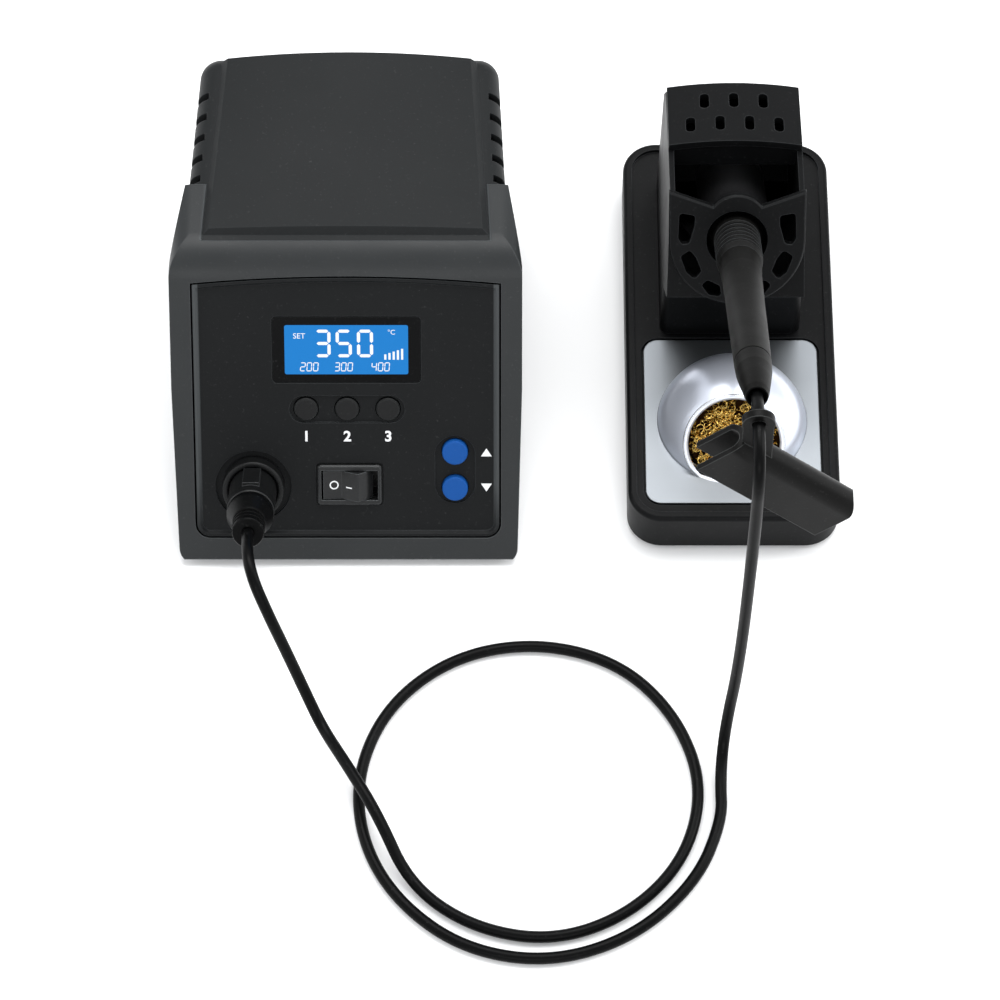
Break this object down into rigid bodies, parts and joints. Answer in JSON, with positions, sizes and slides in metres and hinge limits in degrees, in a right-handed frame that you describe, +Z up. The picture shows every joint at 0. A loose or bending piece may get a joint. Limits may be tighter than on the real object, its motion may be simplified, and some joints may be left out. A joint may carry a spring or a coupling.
{
  "type": "soldering iron station",
  "caption": "Soldering station: control unit with sloping display panel, and an iron with a silicone cord in a covered holder with a wool tip cleaner.",
  "frame": {"origin": "on the bench, under the middle of the box around the unit, the stand and the iron, without the cord, its plug and its pad", "axes": "+X to the right of someone facing the panel, +Y from the panel to the back, +Z up"},
  "size_m": [0.2194, 0.307, 0.1661],
  "materials": {
    "housing_plastic": "satin moulded plastic, fine texture",
    "frame_plastic": "satin moulded plastic",
    "panel_plastic": "near-black fine matt",
    "display_glass": "blue backlit display behind a clear window",
    "module_plastic": "white moulding",
    "board": "green solder mask",
    "black_plastic": "semi-matt moulding",
    "button_black": "satin",
    "button_blue": "satin blue",
    "rocker_plastic": "satin black",
    "plated_steel": "bright plated",
    "contact_brass": "plated",
    "core_steel": "varnished laminations",
    "copper_wire": "enamelled copper",
    "heatsink_metal": "extruded",
    "foot_rubber": "matt rubber",
    "stand_plastic": "black phenolic, low sheen",
    "tray_metal": "satin tray, polished dome",
    "wool_brass": "curled turnings",
    "sleeve_metal": "drawn tube",
    "handle_plastic": "satin",
    "grip_rubber": "ribbed grip",
    "tip_metal": "iron plated",
    "heater_ceramic": "ceramic",
    "cord_silicone": "smooth silicone",
    "pad_silicone": "matt silicone"
  },
  "bodies": {
    "root": {"lower_housing": "housing_plastic", "top_cover": "housing_plastic", "front_frame": "frame_plastic", "housing_screws": "plated_steel", "unit_feet": "foot_rubber", "front_panel": "panel_plastic", "lcd_window": "display_glass", "lcd_module": "module_plastic", "control_board": "board", "board_screws": "plated_steel", "tact_switches": "black_plastic", "rocker_housing": "rocker_plastic", "panel_socket": "black_plastic", "socket_nut": "plated_steel", "socket_contacts": "contact_brass", "transformer_core": "core_steel", "transformer_winding": "copper_wire", "power_heatsink": "heatsink_metal", "mains_inlet": "black_plastic", "inlet_pins": "contact_brass", "stand_base": "stand_plastic", "stand_bottom_plate": "stand_plastic", "stand_screws": "plated_steel", "stand_feet": "foot_rubber", "wool_cup": "plated_steel", "brass_wool": "wool_brass", "holder_tower": "stand_plastic", "tower_hood": "stand_plastic", "face_plate": "stand_plastic", "holder_sleeve": "sleeve_metal", "iron_cord": "cord_silicone"},
    "rocker": {"rocker_paddle": "rocker_plastic"},
    "preset_1": {"preset_button_1": "button_black"},
    "preset_2": {"preset_button_2": "button_black"},
    "preset_3": {"preset_button_3": "button_black"},
    "step_up": {"temp_up_button": "button_blue"},
    "step_down": {"temp_down_button": "button_blue"},
    "plug": {"plug_shell": "black_plastic", "plug_collar": "cord_silicone", "plug_pins": "contact_brass"},
    "iron": {"grip_sleeve": "grip_rubber", "handle_body": "handle_plastic", "handle_cap": "handle_plastic", "cord_bush": "grip_rubber", "iron_tip": "tip_metal", "heater_element": "heater_ceramic", "tip_barrel": "plated_steel", "barrel_nut": "plated_steel", "barrel_stem": "plated_steel", "terminal_board": "board"},
    "pad": {"tip_pad": "pad_silicone"},
    "tray": {"cleaner_tray": "tray_metal"}
  },
  "joints": [
    {"name": "rocker_tilt", "type": "hinge", "parent": "root", "child": "rocker", "pos_m": [-0.0519, -0.04114, 0.02181], "axis": [0, 0.5878, 0.809], "range_deg": [0, 24]},
    {"name": "preset_press_1", "type": "slide", "parent": "root", "child": "preset_1", "axis": [0, 0.809, -0.5878], "range_m": [0, 0.001], "stiffness_N_per_m": 400},
    {"name": "preset_press_2", "type": "slide", "parent": "root", "child": "preset_2", "axis": [0, 0.809, -0.5878], "range_m": [0, 0.001], "stiffness_N_per_m": 400},
    {"name": "preset_press_3", "type": "slide", "parent": "root", "child": "preset_3", "axis": [0, 0.809, -0.5878], "range_m": [0, 0.001], "stiffness_N_per_m": 400},
    {"name": "up_press", "type": "slide", "parent": "root", "child": "step_up", "axis": [0, 0.809, -0.5878], "range_m": [0, 0.001], "stiffness_N_per_m": 400},
    {"name": "down_press", "type": "slide", "parent": "root", "child": "step_down", "axis": [0, 0.809, -0.5878], "range_m": [0, 0.001], "stiffness_N_per_m": 400},
    {"name": "plug_pull", "type": "slide", "parent": "root", "child": "plug", "axis": [0, -0.809, 0.5878], "range_m": [0, 0.015]},
    {"name": "iron_draw", "type": "slide", "parent": "root", "child": "iron", "axis": [0, -0.8192, 0.5736], "range_m": [0, 0.085], "deforming": ["iron_cord"]},
    {"name": "pad_turn", "type": "hinge", "parent": "iron", "child": "pad", "pos_m": [0.07465, -0.10805, 0.16105], "axis": [0, -1, 0], "range_deg": [-25, 25]},
    {"name": "tray_lift", "type": "slide", "parent": "root", "child": "tray", "axis": [0, 0, 1], "range_m": [0, 0.025]}
  ]
}
